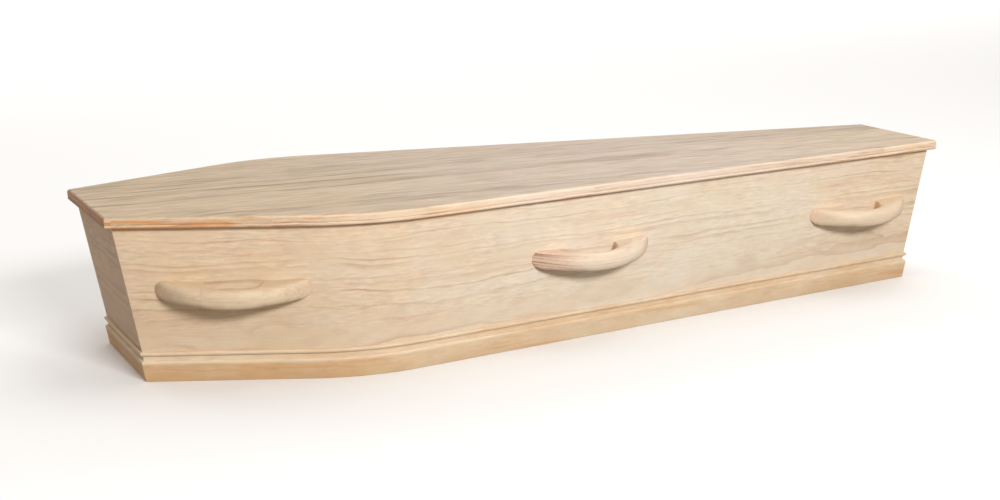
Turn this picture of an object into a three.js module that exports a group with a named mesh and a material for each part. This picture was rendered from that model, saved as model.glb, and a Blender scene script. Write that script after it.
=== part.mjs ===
// A plain pine coffin: a flat tapered lid, leaning boards bent round the shoulders,
// a beaded base moulding and six carved crescent handles.
// Millimetres, +Z up. X runs along the coffin with the head at -X, and the origin is on the
// ground under the middle of the lid.

import * as THREE from 'three';

// Plan of the lid
const length = 2000;
const headWidth = 330;
const footWidth = 292;
const shoulderWidth = 714;
const shoulderFromHead = 468;
const shoulderRadius = 438;

// Heights and boards
const height = 335;
const lidThickness = 22;
const lidOverhang = 16;
const sideBoard = 18;
const endBoard = 18;
const floorBoard = 18;
const sideLean = 4.9;
const headLean = 10.7;
const footLean = 9.6;

// Moulded edge of the lid: rounded over at the top, flat, then a quirk and a bead at the bottom
const lidRound = 5.5;
const lidQuirk = 2;
const lidBead = 8;

// Base moulding
const mouldingHeight = 60;
const mouldingStandOut = 7.2;
const plinthFlat = 36;
const plinthRound = 6.4;
const beadDiameter = 9;
const beadBack = 1;

// Handles. The outer ones are set in from the ends of the lid.
const handleFromEnd = 230;
const handleHeight = 182;
const handleChord = 304;
const handleStandOut = 68;
const handleBarHeight = 38;
const handleRise = 7;
const fingerWidth = 116;
const fingerDepth = 37.5;
const handleEndRound = 21;

// Clearance left between pieces that touch
const seat = 0.3;

// Fineness of the round stretches
const shoulderSteps = 12;
const handleSteps = 13;
const handleSides = 14;

// Shape of a handle that does not depend on its size: how blunt its plan is, how far along the
// chord it is cut off, how tall the cut end stays, and how square its section is where it is
// rounded in the hand and where it lies flat on the board
const planPower = 2.5;
const cutShare = 0.985;
const endShare = 0.35;
const handRound = 0.8;
const backSquare = 0.1;

const radians = THREE.MathUtils.degToRad;
const headX = -length / 2;
const footX = length / 2;
const bodyTop = height - lidThickness;

// Builds one closed mesh through rings of points. capFaces are triangles over one ring.
function loft(rings, capFaces) {
  const count = rings[0].length;
  const points = rings.flat();
  const faces = [];
  for (let k = 0; k < rings.length - 1; k++) {
    for (let i = 0; i < count; i++) {
      const a = k * count + i;
      const b = k * count + (i + 1) % count;
      faces.push([a, b, b + count], [a, b + count, a + count]);
    }
  }
  const last = (rings.length - 1) * count;
  for (const [a, b, c] of capFaces) {
    faces.push([c, b, a], [a + last, b + last, c + last]);
  }
  return closedGeometry(points, faces);
}

// Turns points and faces into a geometry whose faces point out.
function closedGeometry(points, faces) {
  let volume = 0;
  for (const [a, b, c] of faces) {
    volume += points[a].dot(new THREE.Vector3().crossVectors(points[b], points[c]));
  }
  const index = volume > 0 ? faces.flat() : faces.flatMap(([a, b, c]) => [a, c, b]);
  const geometry = new THREE.BufferGeometry().setFromPoints(points);
  geometry.setIndex(index);
  geometry.computeVertexNormals();
  return geometry;
}

function capOf(outline) {
  return THREE.ShapeUtils.triangulateShape(outline, []);
}

// Half plan of the lid: a straight head run, a round shoulder and a straight foot run
const shoulderPoint = new THREE.Vector2(headX + shoulderFromHead, shoulderWidth / 2);
const headAngle = Math.atan2(shoulderPoint.y - headWidth / 2, shoulderFromHead);
const footAngle = Math.atan2(footWidth / 2 - shoulderPoint.y, footX - shoulderPoint.x);
const tangentLength = shoulderRadius * Math.tan((headAngle - footAngle) / 2);
const shoulderCentre = new THREE.Vector2(
  shoulderPoint.x - tangentLength * Math.cos(headAngle) + shoulderRadius * Math.sin(headAngle),
  shoulderPoint.y - tangentLength * Math.sin(headAngle) - shoulderRadius * Math.cos(headAngle)
);

// A point on the round shoulder, inset from the lid's edge
function shoulderAt(angle, inset) {
  const radius = shoulderRadius - inset;
  return new THREE.Vector2(
    shoulderCentre.x - radius * Math.sin(angle),
    shoulderCentre.y + radius * Math.cos(angle)
  );
}

// Half-width of a straight run at x, inset from the lid's edge
function runHalfWidth(angle, x, inset) {
  const tangent = shoulderAt(angle, inset);
  return tangent.y + (x - tangent.x) * Math.tan(angle);
}

// One side in plan from x0 at the head to x1 at the foot
function sidePath(inset, x0, x1) {
  const path = [new THREE.Vector2(x0, runHalfWidth(headAngle, x0, inset))];
  for (let i = 0; i <= shoulderSteps; i++) {
    path.push(shoulderAt(THREE.MathUtils.lerp(headAngle, footAngle, i / shoulderSteps), inset));
  }
  path.push(new THREE.Vector2(x1, runHalfWidth(footAngle, x1, inset)));
  return path;
}

// Both sides as one closed ring at height z
function planRing(inset, x0, x1, z) {
  const side = sidePath(inset, x0, x1);
  const near = side.map(p => new THREE.Vector3(p.x, -p.y, z));
  const far = side.map(p => new THREE.Vector3(p.x, p.y, z)).reverse();
  return near.concat(far);
}

// Outer faces of the body at height z
function sideInset(z) {
  return lidOverhang + (bodyTop - z) * Math.tan(radians(sideLean));
}

function headFace(z) {
  return headX + lidOverhang + (bodyTop - z) * Math.tan(radians(headLean));
}

function footFace(z) {
  return footX - lidOverhang - (bodyTop - z) * Math.tan(radians(footLean));
}

// Points of an arc, as many as steps + 1
function arc(cx, cy, radius, from, to, steps) {
  const points = [];
  for (let i = 0; i <= steps; i++) {
    const angle = radians(THREE.MathUtils.lerp(from, to, i / steps));
    points.push(new THREE.Vector2(cx + radius * Math.cos(angle), cy + radius * Math.sin(angle)));
  }
  return points;
}

// Lid: the edge profile as inset and height, from the underside up
function lidGeometry() {
  const edge = [
    ...arc(-lidBead / 2, lidBead / 2, lidBead / 2, -90, 60, 5),
    new THREE.Vector2(-lidQuirk, lidBead),
    new THREE.Vector2(0, lidBead),
    ...arc(-lidRound, lidThickness - lidRound, lidRound, 0, 90, 4),
  ];
  const rings = edge.map(p => planRing(-p.x, headX - p.x, footX + p.x, bodyTop + p.y));
  const cap = capOf(rings[0].map(p => new THREE.Vector2(p.x, p.y)));
  return loft(rings, cap);
}

// Side board: a board of even thickness from head end to foot end, standing on the floor board
function sideBoardGeometry(side) {
  const across = sideBoard / Math.cos(radians(sideLean));
  const levels = [floorBoard + seat, bodyTop - seat];
  const corners = [[levels[0], 0], [levels[1], 0], [levels[1], across], [levels[0], across]];
  const paths = corners.map(([z, deep]) => sidePath(sideInset(z) + deep, headFace(z), footFace(z)));
  const rings = paths[0].map((_, i) =>
    corners.map(([z], k) => new THREE.Vector3(paths[k][i].x, side * paths[k][i].y, z)));
  return loft(rings, [[0, 1, 2], [0, 2, 3]]);
}

// End board, held between the side boards. inward points from its outer face into the coffin.
function endBoardGeometry(angle, face, lean, inward) {
  const across = endBoard / Math.cos(radians(lean));
  const inner = (sideBoard + seat) / Math.cos(radians(sideLean));
  const rings = [floorBoard + seat, bodyTop - seat].map(z => {
    const half = x => runHalfWidth(angle, x, sideInset(z) + inner);
    const x0 = face(z);
    const x1 = x0 + inward * across;
    return [[x0, -half(x0)], [x1, -half(x1)], [x1, half(x1)], [x0, half(x0)]]
      .map(([x, y]) => new THREE.Vector3(x, y, z));
  });
  return loft(rings, [[0, 1, 2], [0, 2, 3]]);
}

function floorGeometry() {
  const rings = [0, floorBoard].map(z => planRing(sideInset(z), headFace(z), footFace(z), z));
  return loft(rings, capOf(rings[0].map(p => new THREE.Vector2(p.x, p.y))));
}

// Base moulding section: distance out from the boards, and height
const groove = mouldingStandOut - plinthRound;
const mouldingSection = [
  new THREE.Vector2(0, 0),
  new THREE.Vector2(mouldingStandOut, 0),
  ...arc(groove, plinthFlat, plinthRound, 0, 90, 4),
  new THREE.Vector2(groove, mouldingHeight - beadDiameter),
  ...arc(beadBack, mouldingHeight - beadDiameter / 2, beadDiameter / 2, -60, 90, 5),
  new THREE.Vector2(0, mouldingHeight),
];

// Where the moulding of a side meets that of an end, for one point of the section
function mitre(angle, face, outward, p) {
  const x = face(p.y) + outward * (seat + p.x);
  return new THREE.Vector2(x, runHalfWidth(angle, x, sideInset(p.y) - seat - p.x));
}

function longMouldingGeometry(side) {
  const paths = mouldingSection.map(p => {
    const head = mitre(headAngle, headFace, -1, p);
    const foot = mitre(footAngle, footFace, 1, p);
    return sidePath(sideInset(p.y) - seat - p.x, head.x + seat, foot.x - seat);
  });
  const rings = paths[0].map((_, i) =>
    mouldingSection.map((p, k) => new THREE.Vector3(paths[k][i].x, side * paths[k][i].y, p.y)));
  return loft(rings, capOf(mouldingSection));
}

function endMouldingGeometry(angle, face, outward) {
  const corners = mouldingSection.map(p => mitre(angle, face, outward, p));
  const rings = [-1, 1].map(side => mouldingSection.map((p, k) =>
    new THREE.Vector3(corners[k].x, side * (corners[k].y - seat), p.y)));
  return loft(rings, capOf(mouldingSection));
}

// Handle, in its own frame: X along the board, Y out from it, Z up it, the bar's middle at Z 0.
// It is a bow whose feet are solid back to the board and rise towards their ends.
function handleGeometry() {
  const reach = handleChord / 2 * cutShare;
  const rings = [];
  for (let i = -handleSteps; i <= handleSteps; i++) {
    rings.push(handleRing(reach * Math.sin(i / handleSteps * Math.PI / 2)));
  }
  const middle = rings[handleSteps].map(p => new THREE.Vector2(p.y, p.z));
  return loft(rings, capOf(middle));
}

// The handle's section at u along the chord
function handleRing(u) {
  const along = Math.abs(u) / (handleChord / 2);
  const out = handleStandOut * (1 - Math.pow(along, planPower));
  const inGap = Math.min(Math.abs(u) / (fingerWidth / 2), 1);
  const hollow = fingerDepth * Math.sqrt(1 - inGap * inGap);
  const pastRound = Math.min((handleChord / 2 - Math.abs(u)) / handleEndRound, 1);
  const rounding = Math.sqrt(1 - (1 - pastRound) * (1 - pastRound));
  const halfTall = handleBarHeight / 2 * THREE.MathUtils.lerp(endShare, 1, rounding);
  const halfDeep = (out - hollow) / 2;
  const ring = [];
  for (let k = 0; k < handleSides; k++) {
    const angle = (k + 0.5) / handleSides * 2 * Math.PI;
    const flatBack = Math.cos(angle) < 0 && hollow === 0;
    const power = flatBack ? backSquare : handRound;
    ring.push(new THREE.Vector3(
      u,
      seat + hollow + halfDeep * (1 + roundedTo(Math.cos(angle), power)),
      handleRise * along * along + halfTall * roundedTo(Math.sin(angle), power)
    ));
  }
  return ring;
}

function roundedTo(value, power) {
  return Math.sign(value) * Math.pow(Math.abs(value), power);
}

const pine = new THREE.MeshStandardMaterial({ color: 0xdcc09a, roughness: 0.6, metalness: 0 });
const lidPine = new THREE.MeshStandardMaterial({ color: 0xcbb28c, roughness: 0.6, metalness: 0 });
const mouldingPine = new THREE.MeshStandardMaterial({ color: 0xd6b184, roughness: 0.6, metalness: 0 });
const handlePine = new THREE.MeshStandardMaterial({ color: 0xe0c8a2, roughness: 0.55, metalness: 0 });

const coffin = new THREE.Group();

function addPiece(name, geometry, material) {
  const mesh = new THREE.Mesh(geometry, material);
  mesh.name = name;
  coffin.add(mesh);
  return mesh;
}

addPiece('lid', lidGeometry(), lidPine);
addPiece('floor_board', floorGeometry(), pine);
addPiece('head_panel', endBoardGeometry(headAngle, headFace, headLean, 1), pine);
addPiece('foot_panel', endBoardGeometry(footAngle, footFace, footLean, -1), pine);
addPiece('base_moulding_head', endMouldingGeometry(headAngle, headFace, -1), mouldingPine);
addPiece('base_moulding_foot', endMouldingGeometry(footAngle, footFace, 1), mouldingPine);

const handlePlaces = [['head', headX + handleFromEnd], ['middle', 0], ['foot', footX - handleFromEnd]];

for (const [sideName, side] of [['near', -1], ['far', 1]]) {
  addPiece(`side_board_${sideName}`, sideBoardGeometry(side), pine);
  addPiece(`base_moulding_${sideName}`, longMouldingGeometry(side), mouldingPine);
  for (const [place, x] of handlePlaces) {
    const angle = x < shoulderPoint.x ? headAngle : footAngle;
    const handle = addPiece(`handle_${sideName}_${place}`, handleGeometry(), handlePine);
    const y = runHalfWidth(angle, x, sideInset(handleHeight));
    handle.position.set(x, side * y, handleHeight);
    handle.rotation.set(-radians(sideLean), 0, side > 0 ? angle : Math.PI - angle, 'ZYX');
  }
}

export default coffin;
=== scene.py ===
# %% [markdown]
# A plain pine coffin: a flat tapered lid, leaning side boards bent round the shoulders, a beaded base
# moulding and six carved crescent handles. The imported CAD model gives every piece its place. This
# lesson remakes each piece with the soft edges and the grain of real pine, in the same frame, in metres.
# X runs from the head (-X) to the foot (+X), and Y from the near side (-Y) to the far side (+Y).

# %% Load the frame
import math
from types import SimpleNamespace

import bmesh
import bpy
from mathutils import Matrix, Vector


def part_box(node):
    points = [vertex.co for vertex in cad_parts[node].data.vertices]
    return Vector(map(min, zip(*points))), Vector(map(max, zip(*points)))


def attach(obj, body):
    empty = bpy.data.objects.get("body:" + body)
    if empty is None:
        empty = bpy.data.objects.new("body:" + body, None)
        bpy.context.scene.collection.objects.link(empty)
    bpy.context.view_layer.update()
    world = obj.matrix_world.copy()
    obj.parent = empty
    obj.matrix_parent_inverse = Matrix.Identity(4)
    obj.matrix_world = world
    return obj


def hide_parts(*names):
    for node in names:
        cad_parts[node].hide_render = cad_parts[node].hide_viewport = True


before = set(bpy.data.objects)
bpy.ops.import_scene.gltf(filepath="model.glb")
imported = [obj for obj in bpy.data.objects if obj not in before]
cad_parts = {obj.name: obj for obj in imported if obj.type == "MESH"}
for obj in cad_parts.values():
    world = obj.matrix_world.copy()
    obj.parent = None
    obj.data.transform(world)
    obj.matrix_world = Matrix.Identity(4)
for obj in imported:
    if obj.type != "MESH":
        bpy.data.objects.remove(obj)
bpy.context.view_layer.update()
print("CAD pieces:", ", ".join(sorted(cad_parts)))

# %% [markdown]
# The sizes a joiner would write on the drawing. The overall ones are read from the frame's boxes, so
# they can't drift from the CAD model. The others are the ones that the boxes don't show.

# %% Sizes
MM = 0.001
lid_low, lid_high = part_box("lid")
LID_LENGTH = lid_high[0] - lid_low[0]
LID_TOP = lid_high[2]
BODY_TOP = lid_low[2]
HEAD_X, FOOT_X = -LID_LENGTH / 2, LID_LENGTH / 2
FLOOR_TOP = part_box("floor_board")[1][2]
MOULDING_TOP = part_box("base_moulding_near")[1][2]

HEAD_WIDTH = 330 * MM
FOOT_WIDTH = 292 * MM
SHOULDER_WIDTH = 714 * MM
SHOULDER_FROM_HEAD = 468 * MM
SHOULDER_RADIUS = 438 * MM
OVERHANG = 16 * MM
BOARD = 18 * MM
SIDE_LEAN = math.radians(4.9)
HEAD_LEAN = math.radians(10.7)
FOOT_LEAN = math.radians(9.6)
SEAT = 0.3 * MM
print(f"lid {LID_LENGTH:.3f} m long, top at {LID_TOP:.3f}, body top at {BODY_TOP:.3f}")

# %% [markdown]
# Seen from above, one side is a straight run from the head, a round shoulder and a long straight run to
# the foot. Two tangent lines and one arc describe it exactly, so no points are traced. Every edge of
# the coffin is this same line, moved in by some inset.

# %% Plan of one side
shoulder = Vector((HEAD_X + SHOULDER_FROM_HEAD, SHOULDER_WIDTH / 2))
HEAD_ANGLE = math.atan2(shoulder.y - HEAD_WIDTH / 2, SHOULDER_FROM_HEAD)
FOOT_ANGLE = math.atan2(FOOT_WIDTH / 2 - shoulder.y, FOOT_X - shoulder.x)
tangent = SHOULDER_RADIUS * math.tan((HEAD_ANGLE - FOOT_ANGLE) / 2)
CENTRE = shoulder + Vector((
    SHOULDER_RADIUS * math.sin(HEAD_ANGLE) - tangent * math.cos(HEAD_ANGLE),
    -SHOULDER_RADIUS * math.cos(HEAD_ANGLE) - tangent * math.sin(HEAD_ANGLE)))
ARC_LENGTH = SHOULDER_RADIUS * (HEAD_ANGLE - FOOT_ANGLE)


def shoulder_point(angle, inset):
    """A point on the round shoulder, moved in from the lid's edge."""
    radius = SHOULDER_RADIUS - inset
    return CENTRE + Vector((-radius * math.sin(angle), radius * math.cos(angle)))


def half_width(angle, x, inset):
    """Half-width of the straight run that has this angle, at x."""
    start = shoulder_point(angle, inset)
    return start.y + (x - start.x) * math.tan(angle)


def side_inset(z):
    return OVERHANG + (BODY_TOP - z) * math.tan(SIDE_LEAN)


def head_face(z):
    return HEAD_X + OVERHANG + (BODY_TOP - z) * math.tan(HEAD_LEAN)


def foot_face(z):
    return FOOT_X - OVERHANG - (BODY_TOP - z) * math.tan(FOOT_LEAN)


print(f"the side turns {math.degrees(HEAD_ANGLE - FOOT_ANGLE):.1f} degrees in {ARC_LENGTH:.3f} m of shoulder")

# %% [markdown]
# The camera stands where the photographer stood: to the left of the middle, a little above the lid,
# looking along the near side. Its place, turn and focal length come from fitting the traced edges, so
# they are written down as they are and the frame is not fitted to them.

# %% Camera
PICTURE_WIDTH = 1000
FOCAL_PIXELS = 1697.6
CAMERA_PLACE = Vector((-1.6784, -3.322, 0.9855))
CAMERA_YAW = math.radians(25.546)
CAMERA_PITCH = math.radians(-12.83)
CAMERA_ROLL = math.radians(0.247)

ahead = Vector((math.sin(CAMERA_YAW) * math.cos(CAMERA_PITCH),
                math.cos(CAMERA_YAW) * math.cos(CAMERA_PITCH), math.sin(CAMERA_PITCH)))
level = Vector((math.cos(CAMERA_YAW), -math.sin(CAMERA_YAW), 0))
down = ahead.cross(level)
across = level * math.cos(CAMERA_ROLL) + down * math.sin(CAMERA_ROLL)
up = level * math.sin(CAMERA_ROLL) - down * math.cos(CAMERA_ROLL)

camera_data = bpy.data.cameras.new("camera")
camera_data.sensor_fit = "HORIZONTAL"
camera_data.lens = FOCAL_PIXELS / PICTURE_WIDTH * camera_data.sensor_width
camera = bpy.data.objects.new("camera", camera_data)
camera.matrix_world = Matrix.Translation(CAMERA_PLACE) @ Matrix((across, up, -ahead)).transposed().to_4x4()
bpy.context.scene.collection.objects.link(camera)
bpy.context.scene.camera = camera
print(f"camera lens {camera_data.lens:.1f} mm")

# %% [markdown]
# The light is a soft white studio. One broad light stands in front of the middle, higher than the camera,
# so the near side is the brightest face and the head end, which turns away from it, falls into shade. A
# weaker one hangs over the foot half of the lid, and a very large one lights the pale sheet behind. The
# surround is dim and a little warm, like light that comes back from a room.

# %% Lights
SURROUND_COLOUR = (1.0, 0.915, 0.80, 1)
SURROUND_STRENGTH = 0.33


def soft_light(name, place, aim, size, power):
    """A flat rectangular light that stands at place and faces aim. power is in watts."""
    data = bpy.data.lights.new(name, "AREA")
    data.shape = "RECTANGLE"
    data.size, data.size_y = size
    data.energy = power
    light = bpy.data.objects.new(name, data)
    direction = Vector(aim) - Vector(place)
    turned = direction.to_track_quat("-Z", "Y").to_matrix().to_4x4()
    light.matrix_world = Matrix.Translation(place) @ turned
    bpy.context.scene.collection.objects.link(light)


soft_light("front_light", place=(-0.1, -6.0, 3.2), aim=(0.0, 0, 0.2), size=(2.6, 1.1), power=351)
soft_light("top_light", place=(1.5, 0.2, 4.2), aim=(1.0, 0.2, 0.3), size=(3.4, 3.0), power=59)
soft_light("backdrop_light", place=(3.0, 10.0, 6.0), aim=(3.0, 10.0, 0), size=(26, 12), power=1350)

surround = bpy.data.worlds.new("surround")
surround.use_nodes = True
background = surround.node_tree.nodes["Background"].inputs
background["Color"].default_value = SURROUND_COLOUR
background["Strength"].default_value = SURROUND_STRENGTH
bpy.context.scene.world = surround
bpy.context.scene.view_settings.view_transform = "Standard"

# %% [markdown]
# The floor is one plain pale sheet, a hair below the coffin. In the photo the white ground throws no light
# up at the wood, so the floor is hidden from bounced light: the undersides of the lid's edge and of the
# handles stay dark. Fewer or weaker lights would darken the sides as well.

# %% Floor
FLOOR_REACH = 40
FLOOR_COLOUR = (0.945, 0.95, 0.96, 1)
FLOOR_ROUGHNESS = 0.9

sheet_corners = [(x * FLOOR_REACH, y * FLOOR_REACH, -SEAT) for x, y in ((-1, -1), (1, -1), (1, 1), (-1, 1))]
sheet = bpy.data.meshes.new("studio_floor")
sheet.from_pydata(sheet_corners, [], [(0, 1, 2, 3)])
floor = bpy.data.objects.new("studio_floor", sheet)
bpy.context.scene.collection.objects.link(floor)
floor_paint = bpy.data.materials.new("studio_floor")
floor_paint.use_nodes = True
paint_inputs = floor_paint.node_tree.nodes["Principled BSDF"].inputs
paint_inputs["Base Color"].default_value = FLOOR_COLOUR
paint_inputs["Roughness"].default_value = FLOOR_ROUGHNESS
sheet.materials.append(floor_paint)
floor.visible_diffuse = False
print("the floor reaches", FLOOR_REACH, "m to each side")

# %% [markdown]
# Materials and Geometry Nodes trees are both nets of nodes. A few small helpers keep them readable: one
# adds a node with its options and inputs, and the others add one step of arithmetic and give its result.

# %% Node helpers
def put(tree, kind, inputs=None, **options):
    """Adds a node. An input is a value, or the socket that it comes from."""
    node = tree.nodes.new(kind)
    for option, value in options.items():
        setattr(node, option, value)
    for socket, value in (inputs or {}).items():
        if isinstance(value, bpy.types.NodeSocket):
            tree.links.new(value, node.inputs[socket])
        else:
            node.inputs[socket].default_value = value
    return node


def calc(tree, operation, *values):
    """One step of arithmetic."""
    return put(tree, "ShaderNodeMath", dict(enumerate(values)), operation=operation).outputs[0]


def vector_calc(tree, operation, *values):
    """One step of arithmetic on vectors or colours."""
    return put(tree, "ShaderNodeVectorMath", dict(enumerate(values)), operation=operation).outputs["Vector"]


def blend_range(tree, value, low, high, to_low=0.0, to_high=1.0):
    """Carries value from one range to another, easing in and out."""
    node = put(tree, "ShaderNodeMapRange",
               {"Value": value, "From Min": low, "From Max": high, "To Min": to_low, "To Max": to_high},
               interpolation_type="SMOOTHSTEP")
    return node.outputs["Result"]


print("node helpers ready")

# %% [markdown]
# Pine shows its growth rings. On a real board they are one solid thing: a stack of cones round the
# heart of the log, which the saw cuts through, so the face has long arches, the edge has lines and the
# end has arcs, and all of them meet at the corners. A picture wrapped on each face can't do that. So
# every piece carries an attribute, "log", that says where in the log each of its points was sawn, and the
# material works out the ring there: the distance from the heart, divided by the width of a ring.

# %% Where in the log
LOG = "log"
NOISE_ROUGHNESS = 0.65
TREE_TAPER = 0.006


def log_noise(tree, log, stretch, detail=2.0):
    """Noise that is drawn out along the grain. stretch is its fineness along, across and through."""
    scaled = vector_calc(tree, "MULTIPLY", log, stretch)
    return put(tree, "ShaderNodeTexNoise",
               {"Vector": scaled, "Scale": 1.0, "Detail": detail, "Roughness": NOISE_ROUGHNESS})


def pushed(tree, log, stretch, reach):
    """Moves the places in the log sideways by a noise, so that the rings are not true circles."""
    noise = vector_calc(tree, "SUBTRACT", log_noise(tree, log, stretch).outputs["Color"], (0.5, 0.5, 0.5))
    return vector_calc(tree, "MULTIPLY_ADD", noise, (0, reach, reach), log)


def cone_round_heart(tree, log):
    """How large a cone round the heart each point lies on: the trunk tapers towards the top of the tree."""
    place = put(tree, "ShaderNodeSeparateXYZ", {0: log})
    across_squared = calc(tree, "POWER", place.outputs[1], 2.0)
    through_squared = calc(tree, "POWER", place.outputs[2], 2.0)
    from_heart = calc(tree, "SQRT", calc(tree, "ADD", across_squared, through_squared))
    return calc(tree, "ADD", from_heart, calc(tree, "MULTIPLY", place.outputs[0], TREE_TAPER))


print("rings are worked out from the attribute", LOG)

# %% [markdown]
# A tree does not grow evenly. A noise along the count of years makes some rings wide and others narrow, and a
# random number for each year makes some dark and others faint. Within one ring the wood darkens
# slowly through the summer and turns pale again at once in the next spring, so the ring's colour is
# a slow curve up and a steep one down.

# %% Growth rings
SLOW_BENDS = (1.6, 7, 7)
SMALL_BENDS = (6, 24, 24)
SMALL_WANDER = 0.4
LEAN_YEARS = {"Scale": 0.6, "Detail": 1.0}
LEAN_SHIFT = 2.2
LATE_GROWS = (0.2, 0.94)
LATE_STOPS = (0.95, 1.0)
PATCHES = (3.5, 16, 16)
PATCH_RANGE = (0.36, 0.62)


def growth_rings(tree, log, ring_width, wander, uneven):
    """Gives how deep each point lies in the dark late wood of its ring, from 0 to 1. uneven is how far
    the strength differs from year to year and from place to place."""
    bent = pushed(tree, log, SLOW_BENDS, wander)
    bent = pushed(tree, bent, SMALL_BENDS, wander * SMALL_WANDER)
    even = calc(tree, "DIVIDE", cone_round_heart(tree, bent), ring_width)
    lean_years = put(tree, "ShaderNodeTexNoise", {"W": even, **LEAN_YEARS}, noise_dimensions="1D")
    ring = calc(tree, "MULTIPLY_ADD", lean_years.outputs["Fac"], LEAN_SHIFT, even)
    through = calc(tree, "FRACT", ring)
    year = put(tree, "ShaderNodeTexWhiteNoise", {"W": calc(tree, "FLOOR", ring)}, noise_dimensions="1D")
    darkening = calc(tree, "POWER", blend_range(tree, through, *LATE_GROWS), 3.0)
    late = calc(tree, "MULTIPLY", darkening, blend_range(tree, through, *LATE_STOPS, 1.0, 0.0))
    strength = calc(tree, "MULTIPLY_ADD", calc(tree, "POWER", year.outputs["Value"], 2.0), uneven, 1 - uneven)
    strong_years = calc(tree, "MULTIPLY", late, strength)
    patchy = log_noise(tree, log, PATCHES).outputs["Fac"]
    return calc(tree, "MULTIPLY", strong_years, blend_range(tree, patchy, *PATCH_RANGE, 1 - uneven, 1.0))


print("rings shift by up to", LEAN_SHIFT, "years in lean times")

# %% [markdown]
# The finish is bare, sanded pine. Before it mixes a colour, the material finds out what is known of each
# point. Pine yellows unevenly, so one value grows towards the two ends of the coffin, which the Object
# coordinates find. The lid's top face is painted darker and greyer than its moulded edge, as painted shade
# and a painted grey reflection, so the depth under the top face is another value. The lid is glued up from
# strips too, and a random number, drawn from each strip's place in the row, moves it to a part of the log
# of its own.

# %% Age, painted shade on the lid's top, and strips
WARM_HEAD = (-1.0, 0.1)
WARM_FOOT = (0.4, 1.0)
FOOT_WARMTH = 0.55
PALE_FADE = 6 * MM
SKIN = (0.2 * MM, 2.5 * MM)
STRIP_ALONG = 9.0
STRIP_BESIDE = 120 * MM
STRIP_DEEP = 100 * MM
STRIP_CLEAR = 30 * MM


def warm_at_ends(tree, pale_from):
    """How far the wood has yellowed: 1 at the head, less at the foot, 0 between them and above pale_from."""
    coordinates = put(tree, "ShaderNodeTexCoord").outputs["Object"]
    on_coffin = put(tree, "ShaderNodeSeparateXYZ", {0: coordinates}).outputs
    at_head = blend_range(tree, on_coffin[0], *WARM_HEAD, 1.0, 0.0)
    at_foot = blend_range(tree, on_coffin[0], *WARM_FOOT, 0.0, FOOT_WARMTH)
    low_down = blend_range(tree, on_coffin[2], pale_from, pale_from + PALE_FADE, 1.0, 0.0)
    return calc(tree, "MULTIPLY", calc(tree, "ADD", at_head, at_foot), low_down)


def below_skin(tree, log):
    """0 on the lid's top face and 1 just under its skin, because the lid's place in the log is measured from
    that face. On the lid the wood below the top face is lifted by it, which leaves painted shade on the top
    face. In the other pieces it only makes the flecks weaker on one side of the heart."""
    depth = calc(tree, "MULTIPLY", put(tree, "ShaderNodeSeparateXYZ", {0: log}).outputs[2], -1.0)
    return blend_range(tree, depth, *SKIN)


def glued_staves(tree, log, width):
    """Cuts a wide panel into strips, each sawn from another place in the log. Gives that place and a tone."""
    place = put(tree, "ShaderNodeSeparateXYZ", {0: log})
    lane = calc(tree, "DIVIDE", place.outputs[1], width)
    from_middle = calc(tree, "MULTIPLY", calc(tree, "SUBTRACT", calc(tree, "FRACT", lane), 0.5), width)
    draw = put(tree, "ShaderNodeTexWhiteNoise", {"W": calc(tree, "FLOOR", lane)}, noise_dimensions="1D")
    drawn = put(tree, "ShaderNodeSeparateXYZ", {0: draw.outputs["Color"]})
    along = calc(tree, "MULTIPLY_ADD", drawn.outputs[0], STRIP_ALONG, place.outputs[0])
    off_heart = calc(tree, "SUBTRACT", drawn.outputs[1], 0.5)
    beside = calc(tree, "MULTIPLY_ADD", off_heart, STRIP_BESIDE, from_middle)
    further_in = calc(tree, "MULTIPLY_ADD", drawn.outputs[2], STRIP_DEEP, STRIP_CLEAR)
    deep = calc(tree, "ADD", place.outputs[2], further_in)
    new_place = put(tree, "ShaderNodeCombineXYZ", {0: along, 1: beside, 2: deep}).outputs[0]
    return new_place, draw.outputs["Value"]


print(f"the wood yellows from the head to x = {WARM_HEAD[1]} m and from x = {WARM_FOOT[0]} m to the foot")

# %% [markdown]
# All these values go into one small holder called wood, so the steps that follow can each take what they
# need. A second attribute in it, "end_grain", says how squarely a face cuts across the fibres. The holder
# also has the ring, the single fibres and a slow noise called hue, and for the handle with heartwood a
# redness that grows along the log.

# %% What is known of each point
END_GRAIN = "end_grain"
FIBRES = (22, 900, 900)
FAINT_RINGS = 0.2
EVEN_TONE = 0.5


def read_wood(tree, ring_width, wander, uneven, figure, staves, heart, pale_from):
    """Gives what the material knows of each point, as sockets."""
    wood = SimpleNamespace(redness=0.0, stave_tone=EVEN_TONE)
    wood.log = put(tree, "ShaderNodeAttribute", attribute_name=LOG).outputs["Vector"]
    wood.across_fibres = put(tree, "ShaderNodeAttribute", attribute_name=END_GRAIN).outputs["Fac"]
    wood.warm_ends = warm_at_ends(tree, pale_from)
    wood.under_skin = below_skin(tree, wood.log)
    if staves:
        wood.log, wood.stave_tone = glued_staves(tree, wood.log, staves)
    wood.ring = growth_rings(tree, wood.log, ring_width, wander, uneven)
    if heart:
        along = put(tree, "ShaderNodeSeparateXYZ", {0: wood.log}).outputs[0]
        wood.redness = blend_range(tree, along, *heart)
        ring_strength = calc(tree, "MULTIPLY_ADD", wood.redness, 1 - FAINT_RINGS, FAINT_RINGS)
        wood.ring = calc(tree, "MULTIPLY", wood.ring, ring_strength)
    wood.fibre = log_noise(tree, wood.log, FIBRES).outputs["Fac"]
    wood.hue = log_noise(tree, wood.log, figure, 3.0)
    return wood


print("each point knows its place in the log, its ring, its fibres and its age")
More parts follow.
